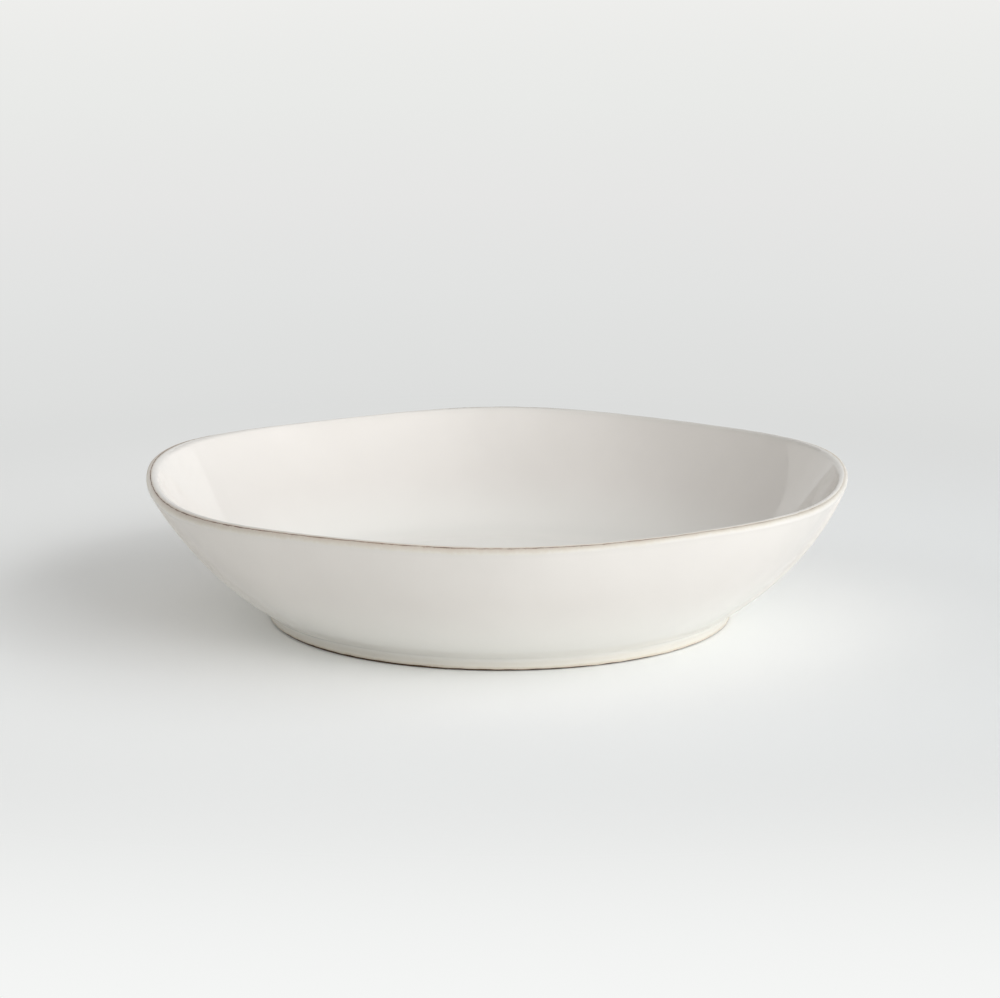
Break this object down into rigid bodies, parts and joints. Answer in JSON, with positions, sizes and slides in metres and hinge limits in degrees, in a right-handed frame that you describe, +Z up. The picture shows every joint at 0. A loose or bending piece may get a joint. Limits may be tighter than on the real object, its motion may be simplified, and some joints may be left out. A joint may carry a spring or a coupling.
{
  "type": "low bowl",
  "caption": "Wide, low, glazed stoneware bowl with an upright flared wall, a softly wandering lip with bare clay along its crest, and a low foot ring.",
  "frame": {"origin": "on the table, under the centre of the foot ring", "axes": "+Z up out of the bowl's open side, +Y to the back as pictured, +X to the right"},
  "size_m": [0.2426, 0.2412, 0.0509],
  "materials": {
    "bare_clay": "matte",
    "white_glaze": "gloss"
  },
  "bodies": {
    "root": {"clay_body": "bare_clay", "foot_ring": "bare_clay", "inside_glaze": "white_glaze", "outside_glaze": "white_glaze", "underside_glaze": "white_glaze"}
  },
  "joints": []
}
